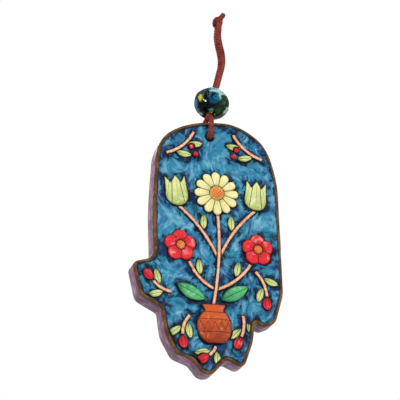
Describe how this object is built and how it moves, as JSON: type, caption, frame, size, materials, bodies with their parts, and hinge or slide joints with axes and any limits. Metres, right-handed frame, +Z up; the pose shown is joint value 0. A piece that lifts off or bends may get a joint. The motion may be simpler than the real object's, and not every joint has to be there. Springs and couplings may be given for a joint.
{
  "type": "hamsa hand ornament",
  "caption": "Hanging hand-shaped ceramic plaque with a raised border and applied flower relief, on a doubled cord with a glazed bead and a knot.",
  "frame": {"origin": "fork of the doubled cord just under its knot, where a hook bears", "axes": "+Z up as it hangs, the fingers pointing down; the painted face looks to -Y; +X is to the right of someone facing it"},
  "size_m": [0.0666, 0.016, 0.1734],
  "materials": {
    "plaque": "painted in mottled blue, with a brown-gold border and mauve sides, satin",
    "bead": "glossy mottled glaze",
    "cord": "matt waxed cotton",
    "relief_yellow": "hand painted, satin",
    "relief_pale": "hand painted, satin",
    "relief_green": "hand painted, satin",
    "relief_red": "hand painted, satin",
    "relief_orange": "hand painted, satin",
    "relief_brown": "hand painted, satin",
    "relief_stem": "hand painted, satin"
  },
  "bodies": {
    "cord": {"cord_front": "cord", "cord_back": "cord", "top_knot": "cord", "tail_front": "cord", "tail_back": "cord"},
    "bead": {"bead": "bead"},
    "loop": {"cord_loop": "cord"},
    "plaque": {"berry_left_1": "relief_red", "berry_left_2": "relief_red", "berry_right_1": "relief_red", "berry_right_2": "relief_red", "broad_leaf_left": "relief_green", "broad_leaf_right": "relief_green", "bud_index": "relief_red", "bud_middle": "relief_red", "bud_pinky": "relief_red", "bud_ring": "relief_red", "bud_thumb": "relief_red", "daisy": "relief_yellow", "daisy_heart": "relief_orange", "leaf_index_1": "relief_pale", "leaf_index_2": "relief_pale", "leaf_middle_1": "relief_pale", "leaf_middle_2": "relief_pale", "leaf_pinky_1": "relief_pale", "leaf_pinky_2": "relief_pale", "leaf_poppy_left": "relief_pale", "leaf_poppy_right": "relief_pale", "leaf_ring_1": "relief_pale", "leaf_ring_2": "relief_pale", "leaf_thumb_1": "relief_pale", "leaf_thumb_2": "relief_pale", "leaf_top_left_1": "relief_pale", "leaf_top_left_2": "relief_pale", "leaf_top_right_1": "relief_pale", "leaf_top_right_2": "relief_pale", "leaf_tulip_left": "relief_pale", "leaf_tulip_right": "relief_pale", "plaque": "plaque", "poppy_left": "relief_red", "poppy_left_heart": "relief_orange", "poppy_right": "relief_red", "poppy_right_heart": "relief_orange", "stem_daisy": "relief_stem", "stem_index": "relief_stem", "stem_middle": "relief_stem", "stem_pinky": "relief_stem", "stem_poppy_left": "relief_stem", "stem_poppy_right": "relief_stem", "stem_ring": "relief_stem", "stem_thumb": "relief_stem", "stem_top_left": "relief_stem", "stem_top_right": "relief_stem", "stem_tulip_left": "relief_stem", "stem_tulip_right": "relief_stem", "tulip_left": "relief_pale", "tulip_right": "relief_pale", "vase": "relief_brown"}
  },
  "joints": [
    {"name": "bead_slide", "type": "slide", "parent": "cord", "child": "bead", "axis": [0.2874, 0, 0.9578], "range_m": [0, 0.01]},
    {"name": "loop_tilt", "type": "hinge", "parent": "cord", "child": "loop", "pos_m": [-0.00727, 0, -0.04486], "axis": [1, 0, 0], "range_deg": [-12, 12]},
    {"name": "plaque_swing", "type": "hinge", "parent": "loop", "child": "plaque", "pos_m": [-0.00841, 0, -0.05646], "axis": [0, 1, 0], "range_deg": [-25, 25]}
  ]
}
